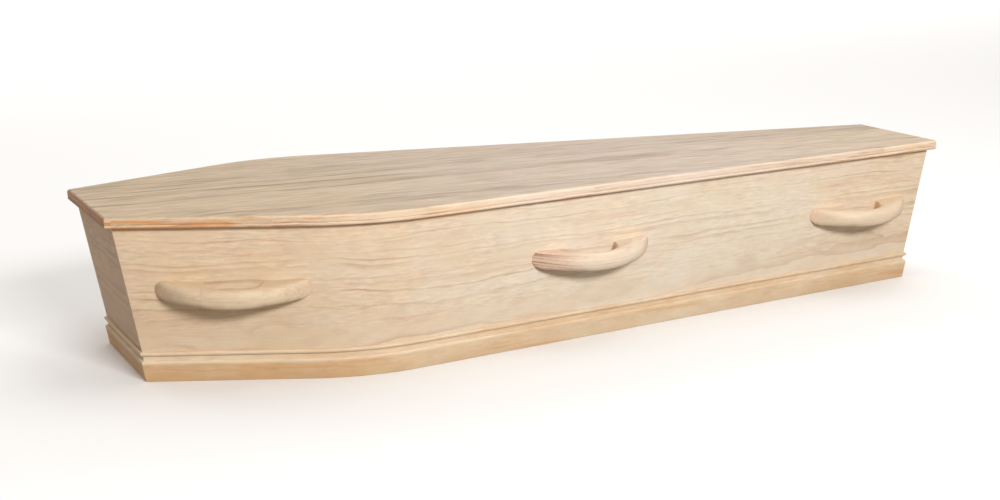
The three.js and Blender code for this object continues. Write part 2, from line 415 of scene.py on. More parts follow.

# %% [markdown]
# The colour is laid on in layers. Pale early wood drifts slowly between cream and a warmer tone, and changes
# a little in hue from patch to patch. Where a face cuts across the fibres it drinks in more light, so end
# grain is darker and warmer. Over that come the dark late wood of each ring and a few streaks that resin
# has stained, both stronger towards the ends of the coffin. The lid has streaks only on its moulded edge,
# below the top face, which carries painted shade.

# %% Colour of the wood
DRIFTS = (6, 16, 16)
DRIFT_RANGE = (0.36, 0.64)
DRIFT_SHARE = 0.35
DRIFT_AT_ENDS = 0.9
HUE_SWING = (0.06, 0.06, 0.10)
HUE_BASE = (0.97, 0.97, 0.95)
RESIN_ON_END_GRAIN = 0.22
RESIN_AT_ENDS = 0.07
EDGE_RESIN_AT_ENDS = 0.15
EDGE_RESIN_ON_END_GRAIN = -0.32
RESIN_FADE = 0.14
RESIN_SHARE = 0.8


def mix_colour(tree, share, first, second):
    """Mixes two colours. A share of 0 gives the first and 1 the second."""
    return put(tree, "ShaderNodeMix", {0: share, 6: first, 7: second}, data_type="RGBA").outputs[2]


def early_wood(tree, wood, early, drift):
    """The pale wood between the rings, drifting from its early colour to its warmer one."""
    slow = blend_range(tree, log_noise(tree, wood.log, DRIFTS).outputs["Fac"], *DRIFT_RANGE, 0.0, DRIFT_SHARE)
    slow = calc(tree, "MULTIPLY_ADD", wood.warm_ends, DRIFT_AT_ENDS, slow)
    slow = calc(tree, "MINIMUM", calc(tree, "ADD", slow, wood.redness), 1.0)
    drifted = mix_colour(tree, slow, (*early, 1), (*drift, 1))
    patches = vector_calc(tree, "MULTIPLY_ADD", wood.hue.outputs["Color"], HUE_SWING, HUE_BASE)
    return vector_calc(tree, "MULTIPLY", drifted, patches)


def resin_streaks(tree, wood, resin_grain, stain_from, painted_edge_light):
    """How far resin has stained each point. stain_from is how strong its noise must be to show."""
    resin = log_noise(tree, wood.log, resin_grain).outputs["Fac"]
    resin = calc(tree, "MULTIPLY_ADD", wood.across_fibres, RESIN_ON_END_GRAIN, resin)
    resin = calc(tree, "MULTIPLY_ADD", wood.warm_ends, RESIN_AT_ENDS, resin)
    if painted_edge_light:
        at_tips = calc(tree, "POWER", wood.warm_ends, 4.0)
        resin = calc(tree, "MULTIPLY_ADD", at_tips, EDGE_RESIN_AT_ENDS, resin)
        resin = calc(tree, "MULTIPLY", resin, wood.under_skin)
        resin = calc(tree, "MULTIPLY_ADD", wood.across_fibres, EDGE_RESIN_ON_END_GRAIN, resin)
    return blend_range(tree, resin, stain_from, stain_from + RESIN_FADE, 0.0, RESIN_SHARE)


print("resin stains at most", RESIN_SHARE, "of the colour")

# %% [markdown]
# Over its colour, wood is lighter and darker in fine detail. The fibres, the short flecks and a soft mottle
# are noises of the same place in the log, drawn out along the grain to their own lengths, and each glued
# strip has a small step of its own. They add up to one tone near 1, and the colour is multiplied by it.

# %% Light and dark
FLECK_RANGE = (0.34, 0.66)
PALE_FLECKS = 0.6
FLECKS_UNDER_SKIN = -0.7
FLECKS_AT_ENDS = 0.25
FLECK_PATCHES = {"low": 0.38, "high": 0.62, "to_low": 0.5, "to_high": 1.35}
NOISE_RANGE = (0.3, 0.7)
FIBRE_TONE = (0.975, 1.025)
MOTTLE_FINER = 1.5
MOTTLE_TONE = (-0.03, 0.03)
STRIP_TONE = 0.07


def fleck_tone(tree, wood, flecks, fleck_size):
    """The short flecks. They are weaker under the skin and stronger in some patches and at the ends."""
    noise = log_noise(tree, wood.log, fleck_size, 4.0).outputs["Fac"]
    tone = blend_range(tree, noise, *FLECK_RANGE, -flecks, flecks * PALE_FLECKS)
    tone = calc(tree, "MULTIPLY", tone, calc(tree, "MULTIPLY_ADD", wood.under_skin, FLECKS_UNDER_SKIN, 1.0))
    tone = calc(tree, "MULTIPLY", tone, blend_range(tree, wood.hue.outputs["Fac"], **FLECK_PATCHES))
    return calc(tree, "MULTIPLY", tone, calc(tree, "MULTIPLY_ADD", wood.warm_ends, FLECKS_AT_ENDS, 1.0))


def wood_tone(tree, wood, flecks, fleck_size, figure, painted_edge_light):
    """All that makes the wood lighter or darker than its colour, as one factor. On the lid it lifts the wood
    below the top face, which leaves painted shade on the top face.
    """
    mottle = log_noise(tree, wood.log, [MOTTLE_FINER * f for f in figure], 4.0).outputs["Fac"]
    tone = calc(tree, "ADD", blend_range(tree, wood.fibre, *NOISE_RANGE, *FIBRE_TONE),
                fleck_tone(tree, wood, flecks, fleck_size))
    tone = calc(tree, "ADD", tone, blend_range(tree, mottle, *NOISE_RANGE, *MOTTLE_TONE))
    tone = calc(tree, "MULTIPLY_ADD", calc(tree, "SUBTRACT", wood.stave_tone, EVEN_TONE), STRIP_TONE, tone)
    # Painted light: on the lid the wood below the top face is made lighter, which leaves painted shade and a
    # painted grey reflection on the top face.
    return calc(tree, "MULTIPLY", tone, calc(tree, "MULTIPLY_ADD", wood.under_skin, painted_edge_light, 1.0))


print("the fibres change the tone from", FIBRE_TONE[0], "to", FIBRE_TONE[1])

# %% [markdown]
# One function puts a finish together. It lays on the colour, multiplies it by the tone and adds the feel of
# the surface. The late wood is smoother and stands a hair proud of the soft wood, which sanding wears down,
# so the same ring drives the roughness and the bump as well as the colour. A separate bump picture
# would never line up with the rings.

# %% The pine finish
ABOVE_ALL = 9.0
END_GRAIN_RANGE = (0.1, 1.0)
END_GRAIN_SHARE = 0.85
LATE_EVERYWHERE = 0.8
LATE_AT_ENDS = 0.8
FIBRE_ROUGHNESS = (0.56, 0.66)
RING_POLISH = 0.12
RING_RELIEF = 0.6
FIBRE_RELIEF = 0.5
RELIEF = {"Strength": 0.35, "Distance": 0.25 * MM}
SHINE = 0.35


def sanded_surface(tree, wood):
    """The roughness and the bump of sanded wood."""
    relief = calc(tree, "MULTIPLY", wood.fibre, FIBRE_RELIEF)
    relief = calc(tree, "MULTIPLY_ADD", wood.ring, RING_RELIEF, relief)
    bump = put(tree, "ShaderNodeBump", {**RELIEF, "Height": relief})
    roughness = calc(tree, "SUBTRACT", blend_range(tree, wood.fibre, *NOISE_RANGE, *FIBRE_ROUGHNESS),
                     calc(tree, "MULTIPLY", wood.ring, RING_POLISH))
    return roughness, bump.outputs["Normal"]


def pine(name, early, late, drift, stain, end, ring_width, late_share, flecks, stain_from,
         wander=16 * MM, uneven=0.8, fleck_size=(30, 200, 200), figure=(14, 24, 24), staves=None, heart=None,
         painted_edge_light=0.0, pale_from=ABOVE_ALL, resin_grain=(2.2, 60, 60)):
    """A sanded pine. The colours are linear RGB. wander is how far the rings stray and uneven how far they
    differ in strength. fleck_size, figure and resin_grain are the fineness of the flecks, of the patches and
    of the resin streaks, along, across and through the log. staves is the width of the strips of a
    glued-up panel. heart is a stretch of the log over which the rings grow from faint to strong.
    painted_edge_light is how much lighter the wood is painted below the top face, which leaves the top face
    in painted shade, and pale_from the height above which it stays pale."""
    material = bpy.data.materials.new(name)
    material.use_nodes = True
    tree = material.node_tree
    wood = read_wood(tree, ring_width, wander, uneven, figure, staves, heart, pale_from)

    colour = early_wood(tree, wood, early, drift)
    cut_across = blend_range(tree, wood.across_fibres, *END_GRAIN_RANGE, 0.0, END_GRAIN_SHARE)
    colour = mix_colour(tree, cut_across, colour, (*end, 1))
    late_mix = calc(tree, "MULTIPLY_ADD", wood.warm_ends, LATE_AT_ENDS, LATE_EVERYWHERE)
    late_mix = calc(tree, "MULTIPLY", wood.ring, calc(tree, "MULTIPLY", late_mix, late_share))
    colour = mix_colour(tree, late_mix, colour, (*late, 1))
    streaks = resin_streaks(tree, wood, resin_grain, stain_from, painted_edge_light)
    colour = mix_colour(tree, streaks, colour, (*stain, 1))
    tone = wood_tone(tree, wood, flecks, fleck_size, figure, painted_edge_light)
    toned = put(tree, "ShaderNodeVectorMath", {"Vector": colour, "Scale": tone}, operation="SCALE")
    roughness, normal = sanded_surface(tree, wood)

    shader = tree.nodes["Principled BSDF"]
    shader.inputs["Specular IOR Level"].default_value = SHINE
    tree.links.new(toned.outputs["Vector"], shader.inputs["Base Color"])
    tree.links.new(roughness, shader.inputs["Roughness"])
    tree.links.new(normal, shader.inputs["Normal"])
    return material


print("pine ready")

# %% [markdown]
# Six finishes, all from the one function. The boards are pale, and the end panels a little darker, as
# the head panel is in the photo: painted shade, on both end panels. The lid has fine dark flecks and the
# greyest tone, which on its top face is painted shade and a painted grey reflection. The mouldings are
# warmer, except for their pale upper edge. The handles are close-grained, and one of them shows strong red
# rings, as wood from near the heart does.

# %% Board finishes
board_pine = pine("sanded_board", early=(0.81, 0.70, 0.565), late=(0.50, 0.31, 0.18),
                  drift=(0.75, 0.57, 0.39), stain=(0.72, 0.50, 0.35), end=(0.50, 0.36, 0.22),
                  ring_width=15 * MM, late_share=0.85, flecks=0.08, stain_from=0.62, wander=44 * MM)
# Painted shade: the end panels get a darker pine than the side boards, for the shade at the head end.
painted_shade_panel_pine = pine("sanded_end_panel_painted_shade", early=(0.70, 0.51, 0.36), late=(0.38, 0.22, 0.13),
                  drift=(0.67, 0.47, 0.31), stain=(0.60, 0.40, 0.26), end=(0.42, 0.28, 0.17),
                  ring_width=12 * MM, late_share=0.7, flecks=0.14, stain_from=0.62, wander=30 * MM)
# Painted shade and painted reflection: the lid's colours are darker and greyer than the boards' on its top
# face, and are lifted below it, on the moulded edge and underside.
lid_pine = pine("sanded_lid", early=(0.575, 0.47, 0.385), late=(0.25, 0.155, 0.10),
                drift=(0.55, 0.42, 0.28), stain=(0.48, 0.21, 0.065), end=(0.24, 0.12, 0.075),
                ring_width=10 * MM, late_share=0.9, flecks=0.18, stain_from=0.60,
                fleck_size=(11, 140, 140), figure=(6, 34, 34), staves=115 * MM, painted_edge_light=0.52,
                resin_grain=(7, 7, 240))
print("board finishes:", board_pine.name, painted_shade_panel_pine.name, lid_pine.name)

# %% Moulding and handle finishes
moulding_pine = pine("sanded_moulding", early=(0.77, 0.61, 0.43), late=(0.52, 0.31, 0.15),
                     drift=(0.66, 0.41, 0.21), stain=(0.68, 0.37, 0.17), end=(0.45, 0.25, 0.14),
                     ring_width=11 * MM, late_share=0.6, flecks=0.07, stain_from=0.60, pale_from=32 * MM)
handle_pine = pine("carved_handle", early=(0.82, 0.69, 0.535), late=(0.60, 0.39, 0.24),
                   drift=(0.71, 0.55, 0.375), stain=(0.76, 0.56, 0.40), end=(0.70, 0.53, 0.37),
                   ring_width=9 * MM, late_share=0.45, flecks=0.05, stain_from=0.66, wander=8 * MM)
heart_pine = pine("carved_handle_heart", early=(0.82, 0.70, 0.555), late=(0.20, 0.05, 0.02),
                  drift=(0.77, 0.55, 0.41), stain=(0.76, 0.54, 0.40), end=(0.72, 0.53, 0.39),
                  ring_width=7 * MM, late_share=1.1, flecks=0.05, stain_from=0.70, wander=5 * MM,
                  uneven=0.15, heart=(2.15, 2.25))

# %% [markdown]
# Every piece ends the same way: its doubles are merged, its faces are turned outwards, its long curves
# are shaded smooth and its true edges are kept sharp, and it is tied to the body, while the CAD node that it
# stands for is hidden.

# %% Finishing a piece
SHARP_FROM = math.radians(32)
SAME_POINT = 0.005 * MM
CUBIC_CM = 1e-6


def mark_end_grain(work):
    """Writes how squarely each face cuts across the fibres, from 0 to 1, as its normal in the log says."""
    log = work.verts.layers.float_vector[LOG]
    across_fibres = work.faces.layers.float.new(END_GRAIN)
    for face in work.faces:
        first, *rest = [corner[log] for corner in face.verts]
        normal = sum(((a - first).cross(b - first) for a, b in zip(rest, rest[1:])), Vector())
        if normal.length:
            face[across_fibres] = abs(normal.x) / normal.length


def finish_piece(name, mesh, material, node):
    """Turns a mesh in its place into the finished piece that stands for a CAD node."""
    work = bmesh.new()
    work.from_mesh(mesh)
    bmesh.ops.remove_doubles(work, verts=work.verts, dist=SAME_POINT)
    bmesh.ops.recalc_face_normals(work, faces=work.faces)
    for face in work.faces:
        face.smooth = True
    for edge in work.edges:
        edge.smooth = len(edge.link_faces) == 2 and edge.calc_face_angle(math.pi) < SHARP_FROM
    mark_end_grain(work)
    volume = work.calc_volume(signed=True)
    work.to_mesh(mesh)
    work.free()
    mesh.materials.clear()
    mesh.materials.append(material)
    piece = bpy.data.objects.new(name, mesh)
    bpy.context.scene.collection.objects.link(piece)
    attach(piece, "root")
    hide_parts(node)
    print(f"{name}: {len(mesh.polygons)} faces, {volume / CUBIC_CM:.0f} cubic cm")


def loft(name, rings):
    """A closed mesh through rings of points, with a flat face on the first ring and on the last."""
    count = len(rings[0])
    faces = []
    for k in range(len(rings) - 1):
        for i in range(count):
            a, b = k * count + i, k * count + (i + 1) % count
            faces.append((a, b, b + count, a + count))
    last = (len(rings) - 1) * count
    faces.append(tuple(reversed(range(count))))
    faces.append(tuple(range(last, last + count)))
    mesh = bpy.data.meshes.new(name)
    mesh.from_pydata([p for ring in rings for p in ring], [], faces)
    return mesh


def mark_log(mesh, place):
    """Writes where in the log each point was sawn. place turns a point of the piece into one of the log."""
    layer = mesh.attributes.new(LOG, "FLOAT_VECTOR", "POINT")
    for vertex, value in zip(mesh.vertices, layer.data):
        value.vector = place(vertex.co)


print("finish_piece, loft and mark_log ready")

# %% [markdown]
# A side board starts flat and straight, as it leaves the saw, and is then bent round the shoulder. The
# Geometry Nodes tree does just that. The flat board comes in with its length along X, measured from
# where the shoulder starts to turn, its depth from the outer face in Y and its height in Z. The tree first
# stores the flat place as the place in the log, so the grain bends with the board, and then moves each
# point: as far round the arc as its X says, and on along the straight run beyond it. The leaning face
# is only a larger inset lower down. The base mouldings wrap the same line, so they use the same tree.

# %% The bending tree
BEND_INPUTS = {
    "Shoulder radius": SHOULDER_RADIUS, "Centre X": CENTRE.x, "Centre Y": CENTRE.y, "Arc length": ARC_LENGTH,
    "Head angle": HEAD_ANGLE, "Lean": math.tan(SIDE_LEAN), "Overhang": OVERHANG, "Body top": BODY_TOP,
    "Side": 1.0,
}


def add_inputs(tree, floats):
    """Gives the tree its geometry, its sizes, its place in the log and its wood."""
    sockets = tree.interface
    sockets.new_socket("Geometry", in_out="INPUT", socket_type="NodeSocketGeometry")
    for name, value in floats.items():
        sockets.new_socket(name, in_out="INPUT", socket_type="NodeSocketFloat").default_value = value
    sockets.new_socket("Place in the log", in_out="INPUT", socket_type="NodeSocketVector")
    sockets.new_socket("Wood", in_out="INPUT", socket_type="NodeSocketMaterial")
    sockets.new_socket("Geometry", in_out="OUTPUT", socket_type="NodeSocketGeometry")
    return tree.nodes.new("NodeGroupInput").outputs


def close_tree(tree, geometry, wood):
    """Every tree ends in real geometry with its wood on it."""
    real = put(tree, "GeometryNodeRealizeInstances", {"Geometry": geometry})
    dressed = put(tree, "GeometryNodeSetMaterial", {"Geometry": real.outputs[0], "Material": wood})
    put(tree, "NodeGroupOutput", {0: dressed.outputs[0]})


def store_log(tree, geometry, place_in_log):
    """Stores each point's place in the log, which is where it lies now, moved to its own part of the log."""
    here = put(tree, "GeometryNodeInputPosition").outputs[0]
    stored = put(tree, "GeometryNodeStoreNamedAttribute",
                 {"Geometry": geometry, "Name": LOG, "Value": vector_calc(tree, "ADD", here, place_in_log)},
                 data_type="FLOAT_VECTOR", domain="POINT")
    return stored.outputs[0]


def bending_tree():
    """The tree that bends a flat board, and leans it, round the shoulder."""
    tree = bpy.data.node_groups.new("bend_round_shoulder", "GeometryNodeTree")
    given = add_inputs(tree, BEND_INPUTS)
    sawn = store_log(tree, given["Geometry"], given["Place in the log"])
    flat = put(tree, "GeometryNodeInputPosition").outputs[0]
    at = put(tree, "ShaderNodeSeparateXYZ", {0: flat}).outputs
    on_arc = calc(tree, "MINIMUM", calc(tree, "MAXIMUM", at[0], 0.0), given["Arc length"])
    beyond = calc(tree, "SUBTRACT", at[0], on_arc)
    turn = calc(tree, "SUBTRACT", given["Head angle"], calc(tree, "DIVIDE", on_arc, given["Shoulder radius"]))
    sine, cosine = calc(tree, "SINE", turn), calc(tree, "COSINE", turn)
    drop = calc(tree, "SUBTRACT", given["Body top"], at[2])
    inset = calc(tree, "ADD", calc(tree, "MULTIPLY_ADD", drop, given["Lean"], given["Overhang"]), at[1])
    radius = calc(tree, "SUBTRACT", given["Shoulder radius"], inset)
    run_x, run_y = calc(tree, "MULTIPLY", beyond, cosine), calc(tree, "MULTIPLY", beyond, sine)
    arc_x, arc_y = calc(tree, "MULTIPLY", radius, sine), calc(tree, "MULTIPLY", radius, cosine)
    x = calc(tree, "ADD", given["Centre X"], calc(tree, "SUBTRACT", run_x, arc_x))
    y = calc(tree, "ADD", given["Centre Y"], calc(tree, "ADD", run_y, arc_y))
    bent = put(tree, "ShaderNodeCombineXYZ", {0: x, 1: calc(tree, "MULTIPLY", y, given["Side"]), 2: at[2]})
    moved = put(tree, "GeometryNodeSetPosition", {"Geometry": sawn, "Position": bent.outputs[0]})
    close_tree(tree, moved.outputs[0], given["Wood"])
    return tree


def run_tree(mesh, tree, values):
    """Runs a tree on a mesh with these inputs and gives the plain mesh that comes out."""
    worker = bpy.data.objects.new("worker", mesh)
    bpy.context.scene.collection.objects.link(worker)
    modifier = worker.modifiers.new("tree", "NODES")
    modifier.node_group = tree
    for item in tree.interface.items_tree:
        if item.in_out == "INPUT" and item.name in values:
            modifier[item.identifier] = values[item.name]
    made = bpy.data.meshes.new_from_object(worker.evaluated_get(bpy.context.evaluated_depsgraph_get()))
    bpy.data.objects.remove(worker)
    return made


bend = bending_tree()
print("the bending tree has", len(bend.nodes), "nodes")

# %% [markdown]
# The flat blank of a side board has mitred ends, because the end panels lean and the runs meet them at
# an angle. Each corner line of the board is sawn where it will meet the end face once it is bent.
# The corner lines are also rounded a little, as sandpaper leaves them.

# %% Flat blanks
SHOULDER_STEPS = 60


def saw_length(angle, x, inset, start):
    """How far along the flat board a corner line reaches x once bent. start is where that run begins."""
    return start + (x - shoulder_point(angle, inset).x) / math.cos(angle)


def flat_blank(name, section, head_end, foot_end):
    """A flat board: section is a list of (depth, height), and the ends give x for each of its points."""
    stations = [ARC_LENGTH * i / SHOULDER_STEPS for i in range(SHOULDER_STEPS + 1)]
    insets = [side_inset(z) + depth for depth, z in section]
    heads = [saw_length(HEAD_ANGLE, head_end(d, z), i, 0) for (d, z), i in zip(section, insets)]
    feet = [saw_length(FOOT_ANGLE, foot_end(d, z), i, ARC_LENGTH) for (d, z), i in zip(section, insets)]
    rings = [[(s, d, z) for s, (d, z) in zip(heads, section)]]
    rings += [[(s, d, z) for d, z in section] for s in stations]
    rings += [[(s, d, z) for s, (d, z) in zip(feet, section)]]
    return loft(name, rings)


def arc_points(x, y, radius, start, end, steps):
    """Points of an arc. Angles are in degrees."""
    turns = [math.radians(start + (end - start) * i / steps) for i in range(steps + 1)]
    return [(x + radius * math.cos(t), y + radius * math.sin(t)) for t in turns]


def soft_corners(low, high, radius, steps=3):
    """A rectangle from low to high with rounded corners."""
    (x0, y0), (x1, y1) = low, high
    points = []
    for x, y, start in ((x1 - radius, y1 - radius, 0), (x0 + radius, y1 - radius, 90),
                        (x0 + radius, y0 + radius, 180), (x1 - radius, y0 + radius, 270)):
        points += arc_points(x, y, radius, start, start + 90, steps)
    return points


print("blanks are sawn with", SHOULDER_STEPS, "steps round the shoulder")

# %% [markdown]
# The two side boards. Each stands on the floor board and runs the full length, over the edges of the end
# panels, so its end grain shows beside them. The near board is sawn with the heart of the log
# behind it and a little below the middle, which gives broad arches at mid height and close straight
# lines under the lid. The far board comes from another log.

# %% Side boards
BOARD_ACROSS = BOARD / math.cos(SIDE_LEAN)
EDGE_EASE = 1.2 * MM
SIDES_OF_COFFIN = {"near": -1.0, "far": 1.0}
LOG_OF_SIDE = {"near": (0.4, 0.055, -0.105), "far": (5.2, 0.07, -0.16)}

board_section = soft_corners((0, FLOOR_TOP + SEAT), (BOARD_ACROSS, BODY_TOP - SEAT), EDGE_EASE)
for side_name, side in SIDES_OF_COFFIN.items():
    blank = flat_blank("side_board", board_section, lambda d, z: head_face(z), lambda d, z: foot_face(z))
    bent_board = run_tree(blank, bend, {"Side": side, "Place in the log": LOG_OF_SIDE[side_name],
                                        "Wood": board_pine})
    finish_piece(f"pine_side_board_{side_name}", bent_board, board_pine, f"side_board_{side_name}")

# %% [markdown]
# The end panels are flat boards, so they are simply drawn in place. They sit between the side boards, lean
# out at their own angle, and get wider with the sides' lean. Their grain runs across the coffin. The strips
# of moulding at the ends lie the same way, so one function makes both.

# %% End panels
ENDS = {
    "head": {"angle": HEAD_ANGLE, "face": head_face, "inward": 1},
    "foot": {"angle": FOOT_ANGLE, "face": foot_face, "inward": -1},
}
LEAN_OF_END = {"head": HEAD_LEAN, "foot": FOOT_LEAN}
LOG_OF_PANEL = {"head": (2.7, 0.06, -0.2), "foot": (7.9, 0.09, -0.12)}
PANEL_INSET = (BOARD + SEAT) / math.cos(SIDE_LEAN)


def cross_piece(name, section, reach, sawn, angle, face, inward):
    """A straight piece across one end. section is a list of (depth, height), and reach gives how far the
    piece goes to each side for a depth, an x and a height. inward is 1 at the head and -1 at the foot."""
    rings = []
    for side in (-1, 1):
        places = [(d, face(z) + inward * d, z) for d, z in section]
        rings.append([(x, side * reach(d, x, z, angle), z) for d, x, z in places])
    mesh = loft(name, rings)
    mark_log(mesh, lambda p: (p.y + sawn[0], abs(p.x - face(p.z)) + sawn[1], p.z + sawn[2]))
    return mesh


def panel_reach(depth, x, z, angle):
    """The panels stop at the side boards' inner faces, at any depth."""
    return half_width(angle, x, side_inset(z) + PANEL_INSET)


for end_name, end in ENDS.items():
    panel_depth = BOARD / math.cos(LEAN_OF_END[end_name])
    panel_section = soft_corners((0, FLOOR_TOP + SEAT), (panel_depth, BODY_TOP - SEAT), EDGE_EASE)
    panel = cross_piece(f"pine_{end_name}_panel", panel_section, panel_reach, LOG_OF_PANEL[end_name], **end)
    # Both end panels wear the darker pine of painted shade.
    finish_piece(f"pine_{end_name}_panel", panel, painted_shade_panel_pine, f"{end_name}_panel")

# %% [markdown]
# The floor board is a plain flat board that the sides and ends stand on. It has the coffin's own plan, and
# it is a little wider at its top face than at its underside, because the lean of the sides runs on
# through it.

# %% Floor board
LOG_OF_FLOOR = (11.0, 0.0, 0.08)


def side_line(inset, x0, x1, steps):
    """One side of the plan from x0 at the head to x1 at the foot."""
    line = [Vector((x0, half_width(HEAD_ANGLE, x0, inset)))]
    for i in range(steps + 1):
        line.append(shoulder_point(HEAD_ANGLE + (FOOT_ANGLE - HEAD_ANGLE) * i / steps, inset))
    line.append(Vector((x1, half_width(FOOT_ANGLE, x1, inset))))
    return line


floor_rings = []
for z in (0, FLOOR_TOP):
    line = side_line(side_inset(z), head_face(z), foot_face(z), SHOULDER_STEPS)
    floor_rings.append([(p.x, -p.y, z) for p in line] + [(p.x, p.y, z) for p in reversed(line)])
floor_board = loft("pine_floor_board", floor_rings)
mark_log(floor_board, lambda p: p + Vector(LOG_OF_FLOOR))
finish_piece("pine_floor_board", floor_board, board_pine, "floor_board")

# %% [markdown]
# The base moulding is run from one strip: a plain plinth with a rounded top edge, a sunk flat and a small
# bead along the top. The long strips are bent round the shoulders by the same tree as the boards, and
# the strips at the ends are mitred into them. The arcs have more steps than in the CAD model, so the bead
# catches one clean line of light.

# %% Base moulding
STAND_OUT = 7.2 * MM
PLINTH_FLAT = 36 * MM
PLINTH_ROUND = 6.4 * MM
BEAD = 9 * MM
BEAD_BACK = 1 * MM
SUNK = STAND_OUT - PLINTH_ROUND
TOE_EASE = 1.0 * MM
EASE_STEPS = 3
ROUND_STEPS = 10
BEAD_STEPS = 12
BEAD_STARTS = -60

moulding_profile = [
    (0, 0),
    *arc_points(STAND_OUT - TOE_EASE, TOE_EASE, TOE_EASE, -90, 0, EASE_STEPS),
    *arc_points(SUNK, PLINTH_FLAT, PLINTH_ROUND, 0, 90, ROUND_STEPS),
    (SUNK, MOULDING_TOP - BEAD),
    *arc_points(BEAD_BACK, MOULDING_TOP - BEAD / 2, BEAD / 2, BEAD_STARTS, 90, BEAD_STEPS),
    (0, MOULDING_TOP),
]
moulding_section = [(-(SEAT + out), z) for out, z in moulding_profile]
print("the moulding's outline has", len(moulding_section), "points")

# %% Strips of moulding
LOG_OF_MOULDING = {
    "near": (1.0, 0.09, -0.02), "far": (6.4, 0.05, 0.03),
    "head": (3.3, 0.07, 0.02), "foot": (8.8, 0.06, -0.04),
}


def moulding_reach(depth, x, z, angle):
    """The end strips meet the long ones in a mitre, which the depth in the inset makes."""
    return half_width(angle, x, side_inset(z) + depth) - SEAT


for side_name, side in SIDES_OF_COFFIN.items():
    blank = flat_blank("moulding", moulding_section,
                       lambda d, z: head_face(z) + d + SEAT, lambda d, z: foot_face(z) - d - SEAT)
    bent_strip = run_tree(blank, bend, {"Side": side, "Place in the log": LOG_OF_MOULDING[side_name],
                                        "Wood": moulding_pine})
    finish_piece(f"pine_moulding_{side_name}", bent_strip, moulding_pine, f"base_moulding_{side_name}")

for end_name, end in ENDS.items():
    strip = cross_piece("moulding", moulding_section, moulding_reach, LOG_OF_MOULDING[end_name], **end)
    finish_piece(f"pine_moulding_{end_name}", strip, moulding_pine, f"base_moulding_{end_name}")

# %% [markdown]
# The lid is one wide flat panel, glued up from strips and sawn to the plan, with a moulded edge: a small
# round over the top, a flat face, then a narrow quirk and a bead along the bottom. It is drawn as a stack
# of outlines, each a little in or out from the last, as a router would follow the edge. The sharp corners
# of the plan are rounded by hand.

# %% Lid
LID_THICK = LID_TOP - BODY_TOP
LID_ROUND = 5.5 * MM
LID_QUIRK = 2 * MM
LID_BEAD = 8 * MM
LID_ARRIS = 0.5 * MM
LID_CORNER = 2.0 * MM
LID_BEAD_STEPS = 14
LID_BEAD_ENDS = 120
LID_BESIDE_HEART = 0.4

lid_edge = [
    *arc_points(LID_BEAD / 2, LID_BEAD / 2, LID_BEAD / 2, 270, LID_BEAD_ENDS, LID_BEAD_STEPS),
    (LID_QUIRK, LID_BEAD),
    *arc_points(LID_ARRIS, LID_BEAD + LID_ARRIS, LID_ARRIS, 270, 180, EASE_STEPS),
    *arc_points(LID_ROUND, LID_THICK - LID_ROUND, LID_ROUND, 180, 90, ROUND_STEPS),
]


def rounded(before, corner, after, radius, steps=4):
    """The corner of an outline, turned into a small arc."""
    to_before, to_after = (before - corner).normalized(), (after - corner).normalized()
    half = to_before.angle(to_after) / 2
    middle = corner + (to_before + to_after).normalized() * radius / math.sin(half)
    first = (corner + to_before * radius / math.tan(half) - middle).normalized()
    last = (corner + to_after * radius / math.tan(half) - middle).normalized()
    return [middle + first.slerp(last, i / steps) * radius for i in range(steps + 1)]


def lid_outline(inset):
    """The lid's outline, moved in by inset, with its four corners rounded."""
    far = side_line(inset, HEAD_X + inset, FOOT_X - inset, SHOULDER_STEPS)
    near = [Vector((p.x, -p.y)) for p in reversed(far)]
    return (rounded(near[-1], far[0], far[1], LID_CORNER) + far[1:-1]
            + rounded(far[-2], far[-1], near[0], LID_CORNER)
            + rounded(far[-1], near[0], near[1], LID_CORNER) + near[1:-1]
            + rounded(near[-2], near[-1], far[0], LID_CORNER))


lid_rings = [[(p.x, p.y, BODY_TOP + z) for p in lid_outline(inset)] for inset, z in lid_edge]
lid = loft("pine_lid", lid_rings)
mark_log(lid, lambda p: (p.x, p.y + LID_BESIDE_HEART, p.z - LID_TOP))
finish_piece("pine_lid", lid, lid_pine, "lid")

# %% [markdown]
# A handle is carved from one block: in plan a full bow that comes off the board, stands well out and goes
# back to it, with an oval finger gap cut through behind. Its feet are solid back to the board and
# rise a little towards their ends. Since the whole shape is a rule, a Geometry Nodes tree makes it from
# a plain grid: one direction of the grid runs along the chord, the other round the section. Stations
# crowd together at the ends of the gap and at the tips, where the shape turns fastest.

# %% The carving tree
HANDLE_INPUTS = {
    "Chord": 304 * MM, "Stand out": 68 * MM, "Bar height": 38 * MM, "Rise": 7 * MM, "Gap width": 116 * MM,
    "Gap depth": 37.5 * MM, "End round": 23 * MM, "Plan power": 2.5, "Hand round": 0.8, "Back square": 0.1,
}
STATIONS = 109
SIDES = 48
GAP_STATIONS = 0.45
BACK_TURNS_FROM = 0.75
SEAM_GAP = 0.01 * MM


